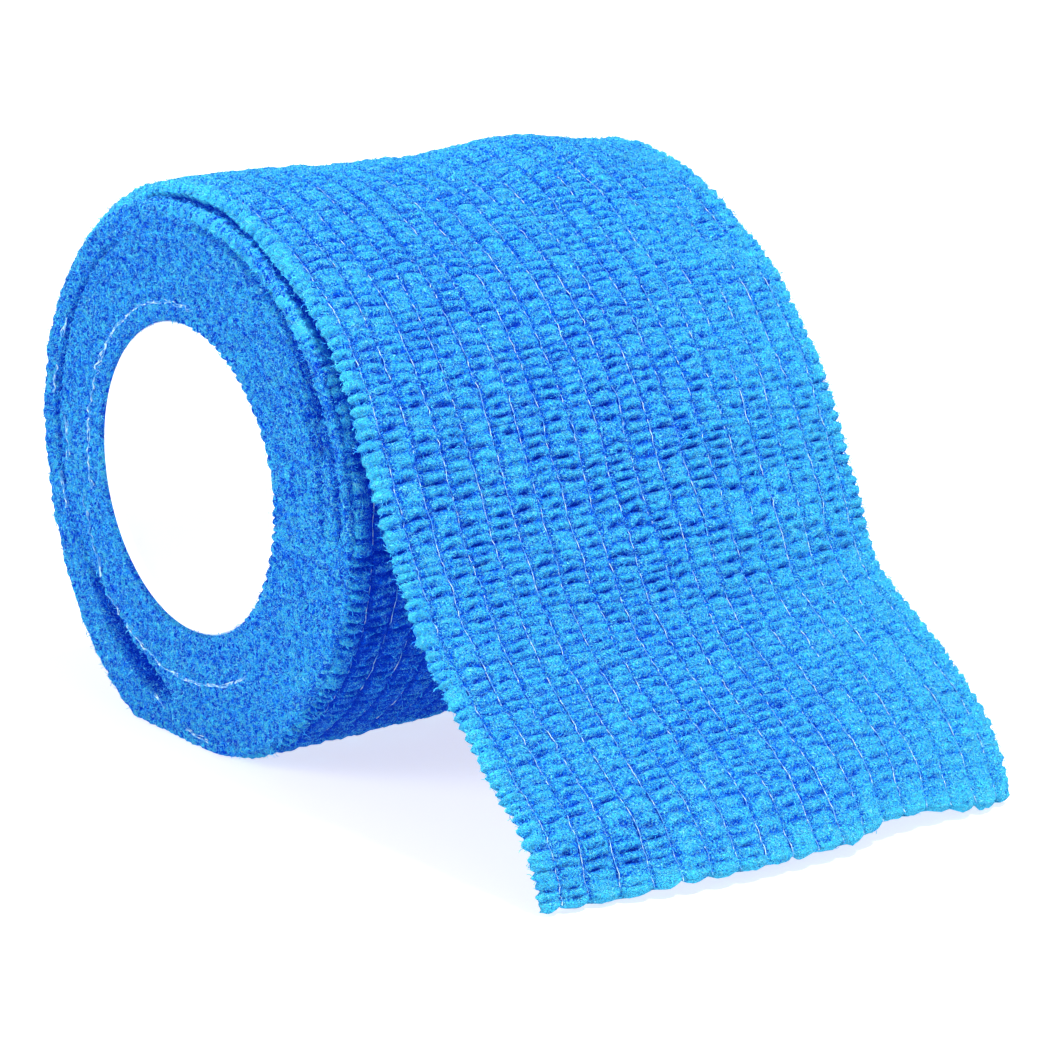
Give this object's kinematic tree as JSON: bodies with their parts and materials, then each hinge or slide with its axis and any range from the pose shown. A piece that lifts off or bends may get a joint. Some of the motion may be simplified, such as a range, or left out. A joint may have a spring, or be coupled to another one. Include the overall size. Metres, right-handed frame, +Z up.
{
  "type": "cohesive bandage roll",
  "caption": "Roll of crinkled blue cohesive bandage on a white plastic core tube, lying on its side with its loose end run down to the surface.",
  "frame": {"origin": "on the surface the roll lies on, under the core's axis, halfway along the core", "axes": "+Z up, +Y along the core's axis from the near end to the far end, +X towards the loose end's tip"},
  "size_m": [0.0761, 0.05, 0.0502],
  "materials": {
    "core_plastic": "smooth satin white moulded tube",
    "felt": "crinkled blue nonwoven felt with fine elastic threads along it"
  },
  "bodies": {
    "root": {"core_tube": "core_plastic", "wound_roll": "felt", "loose_end": "felt"}
  },
  "joints": []
}
